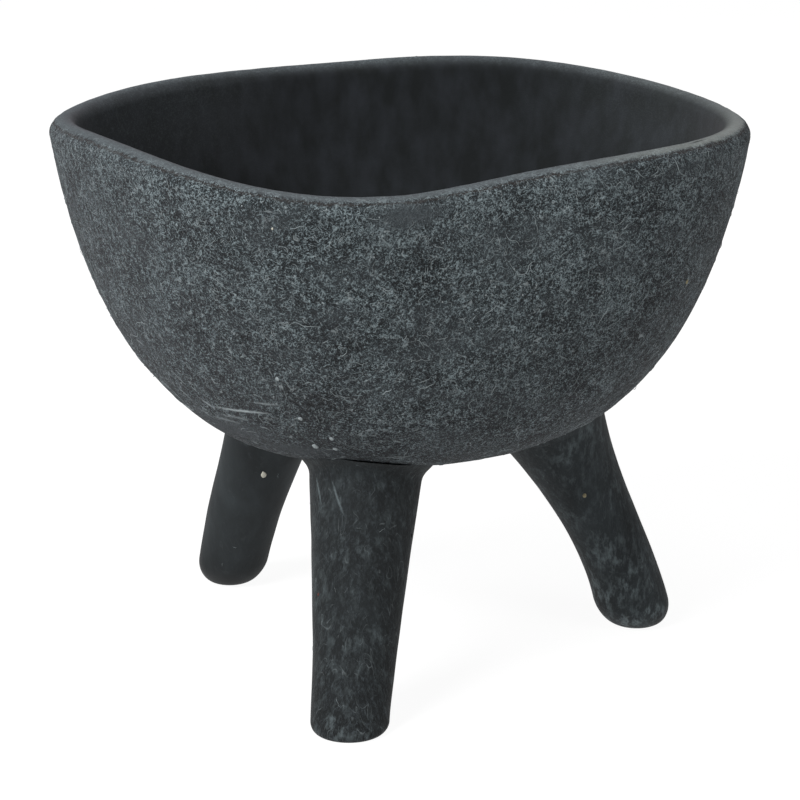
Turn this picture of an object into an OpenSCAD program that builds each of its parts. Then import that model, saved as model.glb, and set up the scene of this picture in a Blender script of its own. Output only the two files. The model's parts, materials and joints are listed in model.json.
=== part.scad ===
// Three-legged bowl formed by hand from fibre pulp.
// Millimetres, +Z up. The feet stand on z = 0 and the rim is centred over the origin.

/* [Bowl] */
// Outside radius where the wall runs into the rim, before it is pushed out of round
rim_radius = 99; // [85:1:120]
// Height of the middle of the rounded rim
rim_height = 161.4; // [150:0.1:185]
// Height of the lowest point of the bowl's underside
bowl_bottom = 67.9; // [60:0.1:72]
// Thickness of the wall and the rim
wall = 9; // [5:0.5:12]
// How fast the wall turns outwards near the rim
upper_curve = 2.5; // [2:0.1:3]
// How blunt the underside is
lower_curve = 3.5; // [2.5:0.1:4]
// Share of the full oval that the bowl's depth takes up
depth_share = 0.65; // [0.5:0.01:0.8]

/* [Rim out of round] */
// How far the rim is drawn out into an oval
oval = 6.8; // [0:0.1:10]
// Direction of its long side
oval_turn = 20; // [-180:1:180]
// How far the rim is pushed into three soft corners
three_corners = 2.2; // [0:0.1:5]
// Direction of one of the three
three_corners_turn = 0; // [-180:1:180]
// How far the rim is pushed into four soft corners
four_corners = 1.8; // [0:0.1:5]
// Direction of one of the four
four_corners_turn = -31; // [-180:1:180]
// How far the rim is pushed into five soft corners
five_corners = 1.8; // [0:0.1:5]
// Direction of one of the five
five_corners_turn = -33; // [-180:1:180]
// How soon these shapes fade away down the wall
fade = 1.25; // [1:0.05:3]

/* [Rim up and down] */
// How far one side of the rim stands high
tilt = 0.9; // [0:0.1:3]
// Direction of the high side
tilt_turn = -167; // [-180:1:180]
// How far the rim rises in two places
two_rises = 1; // [0:0.1:3]
// Direction of one of the two
two_rises_turn = 14; // [-180:1:180]
// How far the rim rises in three places
three_rises = 2.6; // [0:0.1:4]
// Direction of one of the three
three_rises_turn = -32; // [-180:1:180]
// How far the rim rises in four places
four_rises = 1; // [0:0.1:3]
// Direction of one of the four
four_rises_turn = -39; // [-180:1:180]
// How far the rim rises in five places
five_rises = 0.6; // [0:0.1:2]
// Direction of one of the five
five_rises_turn = 3; // [-180:1:180]

/* [Front leg] */
// Direction of the front leg from the middle
front_turn = -100.7; // [-110:0.1:-90]
// Distance from the middle, at the foot and at three steps up
front_reach = [74.5, 63.8, 53, 42]; // [40:0.1:80]
// Sideways drift, at the foot and at three steps up
front_drift = [-0.6, -0.8, -1.2, -1.6]; // [-5:0.1:5]
// Radius, at the foot and at three steps up
front_girth = [11.5, 12.7, 14.8, 17]; // [10:0.1:22]
// Rounding of the foot: inwards and upwards
front_foot = [3, 3]; // [1:0.1:9]

/* [Right leg] */
// Direction of the right leg from the middle
right_turn = 13.8; // [5:0.1:25]
// Distance from the middle, at the foot and at three steps up
right_reach = [76.6, 69.2, 57.4, 43.5]; // [40:0.1:80]
// Sideways drift, at the foot and at three steps up
right_drift = [-0.3, -1.2, -1, -0.8]; // [-5:0.1:5]
// Radius, at the foot and at three steps up
right_girth = [12.2, 11.9, 14.1, 20.5]; // [10:0.1:22]
// Rounding of the foot: inwards and upwards
right_foot = [8, 9]; // [1:0.1:9]

/* [Rear left leg] */
// Direction of the rear left leg from the middle
rear_left_turn = 132.7; // [120:0.1:145]
// Distance from the middle, at the foot and at three steps up
rear_left_reach = [80, 71.2, 60.6, 49]; // [40:0.1:80]
// Sideways drift, at the foot and at three steps up
rear_left_drift = [1.2, 3, 3.3, 4]; // [-5:0.1:5]
// Radius, at the foot and at three steps up
rear_left_girth = [11, 12, 13.6, 16.5]; // [10:0.1:22]
// Rounding of the foot: inwards and upwards
rear_left_foot = [7, 9]; // [1:0.1:9]

/* [Joints of pulp] */
// Thickness of the bed between a leg and the bowl
bed = 1; // [0.5:0.1:2]
// How far a collar runs down its leg
collar_drop = 4; // [2:0.5:6]
// How far a collar spreads over the underside of the bowl
collar_spread = 3; // [2:0.5:5]
// Thickness of a collar at its smoothed edges
collar_edge = 0.4; // [0.2:0.1:0.8]

/* [Fineness] */
// Facets round the bowl
bowl_sides = 72; // [48:4:88]
// Rings up the outside of the wall
bowl_rings = 21; // [16:1:26]
// Facets round a leg
leg_sides = 32; // [16:2:36]
// Rings up a leg
leg_rings = 15; // [10:1:18]

/* [Hidden] */

// Height between two of the steps at which a leg's shape is stated
leg_step = 24;
// Angle of the even steps along the wall from the middle of the underside to the rim
wall_sweep = 75;
// Steps over the rounded rim
rim_steps = 8;
// Small step for finding the wall's direction
tiny = 0.002;
// Pushes of the rim out of round, from two crests a turn up, and its rises, from one up
pushes = [[oval, oval_turn], [three_corners, three_corners_turn],
          [four_corners, four_corners_turn], [five_corners, five_corners_turn]];
lifts = [[tilt, tilt_turn], [two_rises, two_rises_turn], [three_rises, three_rises_turn],
         [four_rises, four_rises_turn], [five_rises, five_rises_turn]];
// Room left between the bowl and the pulp against it, so that facets don't cross
seat_room = 0.15;
// Room left between a leg's side and its collar
side_room = 0.05;
// Rings across the top of a leg
cap_rings = 6;
// Steps along each side of a collar's section
collar_steps = 4;
// How much a leg reaches below the floor before its foot is cut flat
foot_spare = 2;
// Width of the block that cuts it
foot_block = 100;
// Crowding of a leg's rings towards its foot
ring_crowding = 1.6;
// Lowest and highest height at which a leg's side can meet the bowl
meet_low = bowl_bottom - 2 * bed;
meet_high = rim_height;
// Halvings used to find where they meet
halvings = 18;
// Rounds used to find the wall's level under a point
rounds = 9;

// Each leg: direction, reach, drift, girth, foot rounding
front = [front_turn, front_reach, front_drift, front_girth, front_foot];
right = [right_turn, right_reach, right_drift, right_girth, right_foot];
rear_left = [rear_left_turn, rear_left_reach, rear_left_drift, rear_left_girth, rear_left_foot];

pulp = [0.20, 0.22, 0.23];
pulp_smooth = [0.15, 0.17, 0.18];
pulp_joint = [0.25, 0.27, 0.28];

function polar(r, a, z) = [r * cos(a), r * sin(a), z];

// Sum of waves round the rim, the first of which rises "first" times in a turn
function waves(list, first, a, i = 0) =
  i == len(list) ? 0 :
  list[i][0] * cos((first + i) * (a - list[i][1])) + waves(list, first, a, i + 1);

function push(a) = waves(pushes, 2, a) / rim_radius;
function rim_level(a) = rim_height + waves(lifts, 1, a);

// Width of the bowl's oval at its mouth, and the share of the depth at a given width
mouth = pow(1 - pow(1 - depth_share, upper_curve), 1 / lower_curve);
function share(w) =
  (1 - pow(max(0, 1 - pow(w * mouth, lower_curve)), 1 / upper_curve)) / depth_share;

// Point of the wall's outside: distance from the middle and height, for u from 0 to 1
function outside(a, u) =
  let (w = sin(wall_sweep * u) / sin(wall_sweep), s = share(w))
  [rim_radius * w * (1 + push(a) * pow(s, fade)), bowl_bottom + (rim_level(a) - bowl_bottom) * s];

function along(a, u) =
  let (d = outside(a, u + tiny) - outside(a, max(0, u - tiny)))
  d / norm(d);
function inwards(a, u) = let (t = along(a, u)) [-t.y, t.x];

function inside(a, u) = outside(a, u) + wall * inwards(a, u);
function over_rim(a, f) =
  let (t = along(a, 1), n = inwards(a, 1))
  outside(a, 1) + wall / 2 * (n - cos(f) * n + sin(f) * t);

function turn_round(profile, a) = polar(profile.x, a, profile.y);
function side_angle(i) = 360 * i / bowl_sides;

bowl_skin = [
  for (j = [1 : bowl_rings])
    [for (i = [0 : bowl_sides - 1]) turn_round(outside(side_angle(i), j / bowl_rings), side_angle(i))],
  for (j = [1 : rim_steps - 1])
    [for (i = [0 : bowl_sides - 1]) turn_round(over_rim(side_angle(i), 180 * j / rim_steps), side_angle(i))],
  for (j = [bowl_rings : -1 : 1])
    [for (i = [0 : bowl_sides - 1]) turn_round(inside(side_angle(i), j / bowl_rings), side_angle(i))]
];

// The rim is out of round, so the whole object is moved to centre it over the origin
bowl_cloud = [for (ring = bowl_skin) each ring];
bowl_x = [for (p = bowl_cloud) p.x];
bowl_y = [for (p = bowl_cloud) p.y];
to_middle = [-(max(bowl_x) + min(bowl_x)) / 2, -(max(bowl_y) + min(bowl_y)) / 2, 0];

// Height of the bowl's underside over a point
function level_under(r, a, s = 0, i = 0) =
  i == rounds ? s : level_under(r, a, share(r / rim_radius / (1 + push(a) * pow(s, fade))), i + 1);
function under(p) =
  let (a = atan2(p.y, p.x))
  bowl_bottom + (rim_level(a) - bowl_bottom) * level_under(norm([p.x, p.y]), a);

// Smooth value at a height, through four values a step apart
function through(v, z) =
  let (t = z / leg_step)
  -v[0] * (t - 1) * (t - 2) * (t - 3) / 6 + v[1] * t * (t - 2) * (t - 3) / 2
  - v[2] * t * (t - 1) * (t - 3) / 2 + v[3] * t * (t - 1) * (t - 2) / 6;

// Rounding taken off a leg's radius close to the floor
function foot_cut(foot, z) =
  z >= foot[1] ? 0 : foot[0] * (1 - sqrt(1 - pow(1 - max(z, 0) / foot[1], 2)));

function leg_middle(leg, z) =
  polar(through(leg[1], z), leg[0], z) + polar(through(leg[2], z), leg[0] + 90, 0);
function leg_side(leg, f, z) =
  leg_middle(leg, z) + polar(through(leg[3], z) - foot_cut(leg[4], z), f, 0);

function meeting(leg, f, low = meet_low, high = meet_high, i = 0) =
  let (z = (low + high) / 2, below = under(leg_side(leg, f, z)) - bed > z)
  i == halvings ? z : meeting(leg, f, below ? z : low, below ? high : z, i + 1);

function leg_angle(i) = 360 * i / leg_sides;
function leg_tops(leg) = [for (i = [0 : leg_sides - 1]) meeting(leg, leg_angle(i))];
function leg_edge(leg, tops) = [for (i = [0 : leg_sides - 1]) leg_side(leg, leg_angle(i), tops[i])];

// A point of the leg's top, moved towards its middle and set a depth below the bowl
function seated(p, depth) = [p.x, p.y, under(p) - depth];
function seat_middle(leg) = leg_middle(leg, 3 * leg_step);
function seat_ring(leg, edge, f, depth) =
  let (m = seat_middle(leg))
  [for (p = edge) seated(m + f * (p - m), depth)];

// Skin closed at both ends by a middle point
module closed_skin(start, rings, end) {
  n = len(rings[0]);
  points = [start, for (ring = rings) each ring, end];
  last = len(points) - 1;
  faces = [
    for (i = [0 : n - 1]) [0, 1 + i, 1 + (i + 1) % n],
    for (j = [0 : len(rings) - 2], i = [0 : n - 1])
      let (b = 1 + j * n, k = (i + 1) % n)
      each [[b + i, b + n + i, b + k], [b + k, b + n + i, b + n + k]],
    for (i = [0 : n - 1]) [last, last - n + (i + 1) % n, last - n + i]
  ];
  polyhedron(points, faces);
}

// Skin round a ring, made of closed sections
module ring_skin(sections) {
  m = len(sections);
  n = len(sections[0]);
  points = [for (section = sections) each section];
  faces = [
    for (j = [0 : m - 1], i = [0 : n - 1])
      let (b = j * n, c = (j + 1) % m * n, k = (i + 1) % n)
      each [[b + i, b + k, c + i], [b + k, c + k, c + i]]
  ];
  polyhedron(points, faces);
}

module bowl() {
  color(pulp)
    translate(to_middle)
      closed_skin([0, 0, bowl_bottom], bowl_skin, [0, 0, bowl_bottom + wall]);
}

module leg(leg) {
  tops = leg_tops(leg);
  edge = leg_edge(leg, tops);
  foot = leg_middle(leg, 0);
  floor_ring = [for (i = [0 : leg_sides - 1]) leg_side(leg, leg_angle(i), 0)];
  spare = [0, 0, -foot_spare];
  rings = [
    [for (p = floor_ring) p + spare],
    floor_ring,
    for (j = [1 : leg_rings])
      [for (i = [0 : leg_sides - 1])
        leg_side(leg, leg_angle(i), tops[i] * pow(j / leg_rings, ring_crowding))],
    for (j = [cap_rings - 1 : -1 : 1])
      seat_ring(leg, edge, j / cap_rings, bed)
  ];
  color(pulp_smooth)
    translate(to_middle)
      difference() {
        closed_skin(foot + spare, rings, seated(seat_middle(leg), bed));
        translate([foot.x, foot.y, -foot_spare])
          cube([foot_block, foot_block, 2 * foot_spare], center = true);
      }
}

module joint_bed(leg) {
  edge = leg_edge(leg, leg_tops(leg));
  rings = [
    for (j = [1 : cap_rings]) seat_ring(leg, edge, j / cap_rings, bed),
    for (j = [cap_rings : -1 : 1]) seat_ring(leg, edge, j / cap_rings, seat_room)
  ];
  color(pulp_joint)
    translate(to_middle)
      closed_skin(seated(seat_middle(leg), bed), rings, seated(seat_middle(leg), seat_room));
}

// Section of a collar: up the leg's side, out under the bowl, then down the hollow outer face
function collar_section(leg, f, top) =
  let (out = polar(1, f, 0),
       low = leg_side(leg, f, top - collar_drop) + collar_edge * out,
       corner = leg_side(leg, f, top),
       far = seated(corner + collar_spread * out, seat_room + collar_edge))
  [
    for (j = [0 : collar_steps])
      leg_side(leg, f, top - collar_drop * (1 - j / collar_steps)) + side_room * out,
    for (j = [0 : collar_steps])
      seated(corner + (side_room + (collar_spread - side_room) * j / collar_steps) * out, seat_room),
    for (j = [0 : collar_steps])
      let (t = j / collar_steps)
      (1 - t) * (1 - t) * far + 2 * t * (1 - t) * (corner + collar_edge * out) + t * t * low
  ];

module collar(leg) {
  tops = leg_tops(leg);
  color(pulp_joint)
    translate(to_middle)
      ring_skin([for (i = [0 : leg_sides - 1]) collar_section(leg, leg_angle(i), tops[i])]);
}

module leg_front() { leg(front); }
module leg_right() { leg(right); }
module leg_rear_left() { leg(rear_left); }
module bed_front() { joint_bed(front); }
module bed_right() { joint_bed(right); }
module bed_rear_left() { joint_bed(rear_left); }
module collar_front() { collar(front); }
module collar_right() { collar(right); }
module collar_rear_left() { collar(rear_left); }

bowl();
leg_front();
leg_right();
leg_rear_left();
bed_front();
bed_right();
bed_rear_left();
collar_front();
collar_right();
collar_rear_left();
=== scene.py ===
import bisect
import json
import math
import random

import bmesh
import bpy
from bpy.props import FloatProperty, FloatVectorProperty, IntProperty, PointerProperty
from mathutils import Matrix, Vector, noise
from mathutils.bvhtree import BVHTree

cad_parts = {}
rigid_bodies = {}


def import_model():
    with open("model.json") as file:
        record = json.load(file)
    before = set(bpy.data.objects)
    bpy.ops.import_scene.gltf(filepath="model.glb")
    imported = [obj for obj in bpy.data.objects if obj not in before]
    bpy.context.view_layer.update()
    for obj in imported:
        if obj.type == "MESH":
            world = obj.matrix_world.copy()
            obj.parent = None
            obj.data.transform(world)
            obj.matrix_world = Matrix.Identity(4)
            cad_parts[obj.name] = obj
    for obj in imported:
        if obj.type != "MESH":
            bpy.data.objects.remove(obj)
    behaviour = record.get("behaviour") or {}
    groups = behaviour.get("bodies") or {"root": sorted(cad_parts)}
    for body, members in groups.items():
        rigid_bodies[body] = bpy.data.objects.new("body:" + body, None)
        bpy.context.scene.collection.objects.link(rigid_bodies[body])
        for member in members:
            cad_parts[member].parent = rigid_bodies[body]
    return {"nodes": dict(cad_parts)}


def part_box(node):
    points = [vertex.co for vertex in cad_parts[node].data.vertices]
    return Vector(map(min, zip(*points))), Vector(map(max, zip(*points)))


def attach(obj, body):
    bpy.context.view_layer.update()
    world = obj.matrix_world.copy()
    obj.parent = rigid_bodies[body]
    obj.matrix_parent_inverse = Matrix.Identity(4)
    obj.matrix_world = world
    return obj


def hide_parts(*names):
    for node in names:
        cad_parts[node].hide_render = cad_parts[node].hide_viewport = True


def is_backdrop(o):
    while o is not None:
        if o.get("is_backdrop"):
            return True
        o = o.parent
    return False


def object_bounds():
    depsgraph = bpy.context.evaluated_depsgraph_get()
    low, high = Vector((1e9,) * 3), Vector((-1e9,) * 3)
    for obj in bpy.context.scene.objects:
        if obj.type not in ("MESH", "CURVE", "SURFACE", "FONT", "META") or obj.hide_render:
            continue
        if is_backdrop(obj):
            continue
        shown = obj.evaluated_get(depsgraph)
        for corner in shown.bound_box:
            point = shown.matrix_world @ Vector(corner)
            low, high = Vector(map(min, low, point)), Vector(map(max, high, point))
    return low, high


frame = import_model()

bl_info = {
    "name": "Three-legged pulp bowl",
    "version": (1, 0, 0),
    "blender": (4, 5, 0),
    "location": "View3D > Sidebar > Pulp bowl",
    "description": "Builds a hand-formed bowl of dyed paper pulp on three legs, and a studio for it",
    "category": "Add Mesh",
}

MM = 0.001
# How far inside the whole object's box every loose fibre stays
EDGE = 0.3 * MM
# Half the thickness of a loose fibre: a real one is nearer 0.02 mm, too thin to show, so it is drawn thicker
FIBRE_RADIUS = 0.08 * MM
# Soft marks, each with its middle (mm), direction in plan and slope (degrees), half sizes (mm) and strength:
# pale scratches low on the wall, streaks down two legs, thumb smears, and the lap in the rim
SCRATCHES = (((-45.2, -60.1, 93.5), -43.5, 6, (15, 3, 0.7), 1.0),
             ((-55, -51.2, 92.8), -20, -30, (3.6, 2.5, 0.7), 0.7),
             ((-47, -57, 90.3), -45, 4, (10, 3, 0.7), 0.35),
             ((-50, -51, 88), -45, 2, (9, 3, 0.8), 0.35),
             ((-38, -68.5, 98), -40, 3, (8, 3, 0.6), 0.45))
STREAKS = (((-23.7, -50, 66.7), 107, 54, (6, 2, 0.6), 0.5), ((-18, -55.4, 65.9), 122, 54, (8, 2, 0.5), 0.45),
           ((-48, 30, 58), 60, 60, (9, 3, 1.6), 0.2))
SMEARS = (((4, -89.5, 157), 4, 2, (24, 6, 6), 0.9), ((22, -88, 148), 10, 3, (20, 6, 3), 0.6),
          ((-52, -44, 84), -44, 6, (34, 12, 8), 0.9), ((-30, -56, 80), -30, 4, (22, 10, 5), 0.8))
RIM_LAP = ((83.4, -46.9, 168.4), 50, 0, (6, 0.5, 1.5), 1.0)
# Bits of paper that stayed whole: place and radius (mm), and colour
BITS = (((81.9, -41.3, 126.4), 0.8, "straw"), ((-43.1, 32.9, 44.9), 1.2, "white"),
        ((56.2, 1.3, 48.2), 0.8, "straw"), ((-23.7, -60.8, 38.3), 0.5, "red"),
        ((3.2, -52, 53.3), 0.7, "dark"), ((-34.5, -92.9, 154.3), 0.4, "white"),
        ((-19.5, -67.4, 87.4), 0.9, "grey"), ((-24.2, -61.4, 83.5), 1.3, "grey"),
        ((-18.5, -62.6, 82.9), 0.9, "grey"), ((-28.1, -70.5, 94.2), 0.8, "grey"),
        ((-34.2, -77.4, 107.8), 0.8, "grey"), ((-77, 53, 120), 0.8, "white"), ((12, 95, 128), 0.7, "straw"))
BIT_COLOURS = {"straw": "#8A8268", "white": "#B4B2A6", "grey": "#8C9496", "red": "#5E3430", "dark": "#1E2022"}
# How rough each leg stayed, how dusty it is (more dust at the foot also paints light there), and how much
# painted shade darkens it at the foot and at the top
LEG_FINISH_AND_SHADE = {"front": (0.95, 0.5, 0.28, 0.32),
              "right": (0.45, 0.7, 0, 0.2),
              "rear_left": (0.15, 0.06, 0.62, 0.3)}
# Where the wall sagged between two legs while it was wet, how deep, and how far round that place
SAG = Vector((-42 * MM, -38 * MM, 78 * MM))
SAG_DEPTH, SAG_REACH = 1.1 * MM, 40 * MM
# The direction in which the rim sits lower, and by how much
LOW_TURN, LOW_DEPTH = math.radians(-132), 0.9 * MM
# The dent of the thumb that made the first smear: its depth and its reach
THUMB_DEPTH, THUMB_REACH = 0.4 * MM, 13 * MM
# Across the front leg: from where to where the crack under the bowl opens, and then closes
CRACK_OPENS, CRACK_CLOSES = (-9 * MM, -2 * MM), (10 * MM, 15 * MM)
# Tones of the grain at which its deep, middle and pale colours stand
WALL_STOPS, WORN_STOPS = (0.385, 0.60, 0.92), (0.34, 0.66, 0.98)
# A node that mixes two colours: input 0 is the share of the second, inputs 6 and 7 are the colours, and
# output 2 is the result
COLOUR_MIX = ("ShaderNodeMix", {"data_type": "RGBA"})
CAD_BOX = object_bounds()
BOWL_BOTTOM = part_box("bowl")[0][2]


# ---------------------------------------------------------------- sizes and colours

def linear(hex_colour):
    """An sRGB hex colour as the linear values that Blender works in."""
    parts = [int(hex_colour[i:i + 2], 16) / 255 for i in (1, 3, 5)]
    return [c / 12.92 if c <= 0.04045 else ((c + 0.055) / 1.055) ** 2.4 for c in parts]


def length(name, text, value, **extra):
    """A size in metres."""
    return FloatProperty(name=name, description=text, default=value, unit="LENGTH", subtype="DISTANCE",
                         precision=5, **extra)


def amount_and_turn(name, text, value):
    """How far a wave pushes the rim, in millimetres, and the direction of one crest, in degrees."""
    return FloatVectorProperty(name=name, description=text, default=value, size=2)


def four_steps(name, text, value):
    """A leg's size in millimetres at its foot and at three even steps up."""
    return FloatVectorProperty(name=name, description=text, default=value, size=4)


def colour(name, text, hex_colour):
    """A colour that is written in sRGB and kept as linear values."""
    return FloatVectorProperty(name=name, description=text, default=linear(hex_colour), size=3,
                               subtype="COLOR", min=0, max=1)


class BowlSizes(bpy.types.PropertyGroup):
    rim_radius: length("Rim radius", "Outside radius where the wall runs into the rim", 99 * MM)
    rim_height: length("Rim height", "Height of the middle of the rounded rim", 161.4 * MM)
    bottom: length("Bottom", "Height of the lowest point of the underside", BOWL_BOTTOM)
    wall: length("Wall", "Thickness of the wall and the rim", 9 * MM)
    upper_curve: FloatProperty(name="Upper curve", description="How fast the wall turns out near the rim",
                               default=2.5)
    lower_curve: FloatProperty(name="Lower curve", description="How blunt the underside is", default=3.5)
    depth_share: FloatProperty(name="Depth share", description="Share of the full oval that is used",
                               default=0.65, subtype="FACTOR")
    fade: FloatProperty(name="Fade", description="How soon the corners fade away down the wall",
                        default=1.25)
    oval: amount_and_turn("Oval", "Oval push of the rim", (6.8, 20))
    three_corners: amount_and_turn("Three corners", "Push into three soft corners", (2.2, 0))
    four_corners: amount_and_turn("Four corners", "Push into four soft corners", (1.8, -31))
    five_corners: amount_and_turn("Five corners", "Push into five soft corners", (1.8, -33))
    tilt: amount_and_turn("Tilt", "Lift of one side of the rim", (0.9, -167))
    two_rises: amount_and_turn("Two rises", "Lift of the rim in two places", (1, 14))
    three_rises: amount_and_turn("Three rises", "Lift of the rim in three places", (2.6, -32))
    four_rises: amount_and_turn("Four rises", "Lift of the rim in four places", (1, -39))
    five_rises: amount_and_turn("Five rises", "Lift of the rim in five places", (0.6, 3))
    dents: length("Dents", "Depth of the dents that the fingers left in the wall", 0.5 * MM)


class LegSizes(bpy.types.PropertyGroup):
    front_turn: FloatProperty(name="Front turn", description="Direction of the front leg, in degrees",
                              default=-100.7)
    front_reach: four_steps("Front reach", "Distance from the middle", (74.5, 63.8, 53, 42))
    front_drift: four_steps("Front drift", "Sideways drift", (-0.6, -0.8, -1.2, -1.6))
    front_girth: four_steps("Front girth", "Radius", (11.5, 12.7, 14.8, 17))
    front_foot: amount_and_turn("Front foot", "Rounding, inwards and upwards", (3, 3))
    right_turn: FloatProperty(name="Right turn", description="Direction of the right leg, in degrees",
                              default=13.8)
    right_reach: four_steps("Right reach", "Distance from the middle", (76.6, 69.2, 57.4, 43.5))
    right_drift: four_steps("Right drift", "Sideways drift", (-0.3, -1.2, -1, -0.8))
    right_girth: four_steps("Right girth", "Radius", (12.2, 11.9, 14.1, 20.5))
    right_foot: amount_and_turn("Right foot", "Rounding, inwards and upwards", (8, 9))
    rear_left_turn: FloatProperty(name="Rear left turn", default=132.7,
                                  description="Direction of the rear left leg, in degrees")
    rear_left_reach: four_steps("Rear left reach", "Distance from the middle", (80, 71.2, 60.6, 49))
    rear_left_drift: four_steps("Rear left drift", "Sideways drift", (1.2, 3, 3.3, 4))
    rear_left_girth: four_steps("Rear left girth", "Radius", (11, 12, 13.6, 16.5))
    rear_left_foot: amount_and_turn("Rear left foot", "Rounding, inwards and upwards", (7, 9))
    bed: length("Bed", "Thickness of the pulp between a leg and the bowl", 1 * MM)


class PulpLooks(bpy.types.PropertyGroup):
    deep: colour("Deep pulp", "Dyed pulp in the pits of the grain", "#0E1112")
    body: colour("Pulp", "Dyed pulp on the flats of the grain", "#262D30")
    fleck: colour("Flecks", "Tips of the grain where the dye took badly", "#6B7679")
    # Painted light: the rim is mixed towards this colour on its right side, less at the back
    pale: colour("Pale rim", "Rim where it was rubbed palest", "#6E726F")
    inside: colour("Inside", "Pulp wiped smooth inside the bowl", "#1D2024")
    # Brown dirt and painted shade: colour of the ragged dark line along the lower edge of the rubbed rim
    crease: colour("Crease", "Brown dirt in the crease under the rim", "#241E1B")
    rim: colour("Rim", "Pulp rubbed smooth by a wet thumb along the rim", "#43484B")
    leg: colour("Leg", "Pulp rolled smooth between the hands", "#1A1E20")
    patch: colour("Leg patches", "Dusty patches on the legs", "#2F3538")
    thread: colour("Fibres", "Paper fibres that took less dye", "#8E9799")
    grain: length("Grain", "Size of a clump of pulp in the wall", 0.8 * MM)
    specks: IntProperty(name="Specks", description="Tiny bits of paper in the wall", default=420)
    fibres: IntProperty(name="Fibres", description="Loose fibres on the bowl", default=1400)


class StageSizes(bpy.types.PropertyGroup):
    camera_back: length("Camera distance", "How far the camera stands in front of the bowl", 0.9675)
    camera_up: length("Camera height", "Height of the camera over the floor", 0.362)
    camera_side: length("Camera side", "How far the camera stands to the side", -0.00017)
    camera_pitch: FloatProperty(name="Camera pitch", description="How far the camera looks down",
                                default=math.radians(16.306), subtype="ANGLE", unit="ROTATION")
    lens: FloatProperty(name="Lens", description="Focal length in millimetres", default=150)
    key_power: FloatProperty(name="Key light", description="Power of the large light on the left", default=49,
                             subtype="POWER", unit="POWER")
    fill_power: FloatProperty(name="Fill light", description="Power of the weaker light on the right",
                              default=8, subtype="POWER", unit="POWER")
    top_power: FloatProperty(name="Top light", description="Power of the light overhead", default=13,
                             subtype="POWER", unit="POWER")
    room: FloatProperty(name="Room light", description="Light that the dim room itself gives", default=0.06)
    glow: FloatProperty(name="Floor glow", description="Light that comes up through the white floor",
                        default=0.94)
    floor: colour("Floor", "White acrylic, dimmed because light comes up through it", "#5A5A5A")


# ---------------------------------------------------------------- shape of the bowl

def waves(crests, first, turn):
    """Sum of waves round the rim, in metres; the first rises "first" times in a turn."""
    return MM * sum(amount * math.cos((first + i) * (turn - math.radians(crest)))
                    for i, (amount, crest) in enumerate(crests))


def corners(bowl, turn):
    return waves((bowl.oval, bowl.three_corners, bowl.four_corners, bowl.five_corners), 2, turn)


def rises(bowl, turn):
    return waves((bowl.tilt, bowl.two_rises, bowl.three_rises, bowl.four_rises, bowl.five_rises), 1, turn)


def mouth(bowl):
    """Width of the full oval where the rim cuts it off."""
    return (1 - (1 - bowl.depth_share) ** bowl.upper_curve) ** (1 / bowl.lower_curve)


def share_of_depth(bowl, width):
    """Height along the wall, from 0 at the bottom to 1 at the rim, where it is this share of its width."""
    full = max(0.0, 1 - (width * mouth(bowl)) ** bowl.lower_curve)
    return (1 - full ** (1 / bowl.upper_curve)) / bowl.depth_share


def wall_point(bowl, u):
    """Outside of the round wall, for u from 0 in the middle of the underside to 1 at the rim."""
    swing = math.radians(75)
    width = math.sin(swing * u) / math.sin(swing)
    share = share_of_depth(bowl, width)
    height = bowl.bottom + (bowl.rim_height - bowl.bottom) * share
    return Vector((bowl.rim_radius * width, height)), width, share


def wall_direction(bowl, u):
    """The way the wall runs at a point, outwards and upwards."""
    ahead, behind = wall_point(bowl, u + 0.002)[0], wall_point(bowl, max(0.0, u - 0.002))[0]
    return (ahead - behind).normalized()


def under_bowl(bowl, x, y):
    """Height of the underside of the bowl over a point, before the bowl is centred."""
    turn, distance = math.atan2(y, x), math.hypot(x, y)
    share = 0.0
    for _ in range(9):
        width = distance / bowl.rim_radius / (1 + corners(bowl, turn) / bowl.rim_radius * share ** bowl.fade)
        share = share_of_depth(bowl, min(width, 1.02))
    return bowl.bottom + (bowl.rim_height + rises(bowl, turn) - bowl.bottom) * share


def smooth_step(low, high, value):
    """Rises smoothly from 0 at the low value to 1 at the high one."""
    t = min(1.0, max(0.0, (value - low) / (high - low)))
    return t * t * (3 - 2 * t)


def rough(point, size, seed):
    """Smooth noise from -1 to 1 with lumps of this size."""
    return noise.noise(Vector(point) / size + Vector((seed, 2.7 * seed, -seed)))


def new_piece(name, bm, node, materials):
    """Makes an object of a finished bmesh, standing for a CAD node."""
    mesh = bpy.data.meshes.new(name)
    bm.to_mesh(mesh)
    bm.free()
    for polygon in mesh.polygons:
        polygon.use_smooth = True
    for material in materials:
        mesh.materials.append(material)
    piece = bpy.data.objects.new(name, mesh)
    bpy.context.scene.collection.objects.link(piece)
    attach(piece, "root")
    if node:
        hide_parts(node)
    return piece


def tree_of(mesh):
    return BVHTree.FromPolygons([v.co for v in mesh.vertices], [p.vertices for p in mesh.polygons])


def chosen_faces(mesh, count, chance):
    """Faces picked at random by their area, outside the parts that were wiped smooth."""
    wiped = [mesh.attributes[name].data for name in ("inner", "rubbed") if name in mesh.attributes]
    areas, total = [], 0.0
    for polygon in mesh.polygons:
        smooth = any(data[polygon.vertices[0]].value > 0.2 for data in wiped)
        total += 0.0 if smooth else polygon.area
        areas.append(total)
    for _ in range(count):
        yield mesh.polygons[bisect.bisect_left(areas, chance.random() * total)]


def to_middle():
    """How far the out-of-round bowl was moved to centre it over the origin."""
    bowl = bpy.context.scene.pulp_bowl
    xs, ys, samples = [], [], 1440
    direction = wall_direction(bowl, 1)
    out = bowl.rim_radius + bowl.wall / 2 * (1 - direction.y)
    for i in range(samples):
        turn = math.tau * i / samples
        radius = out + corners(bowl, turn)
        xs.append(radius * math.cos(turn))
        ys.append(radius * math.sin(turn))
    return Vector((-(max(xs) + min(xs)) / 2, -(max(ys) + min(ys)) / 2, 0))


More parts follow.
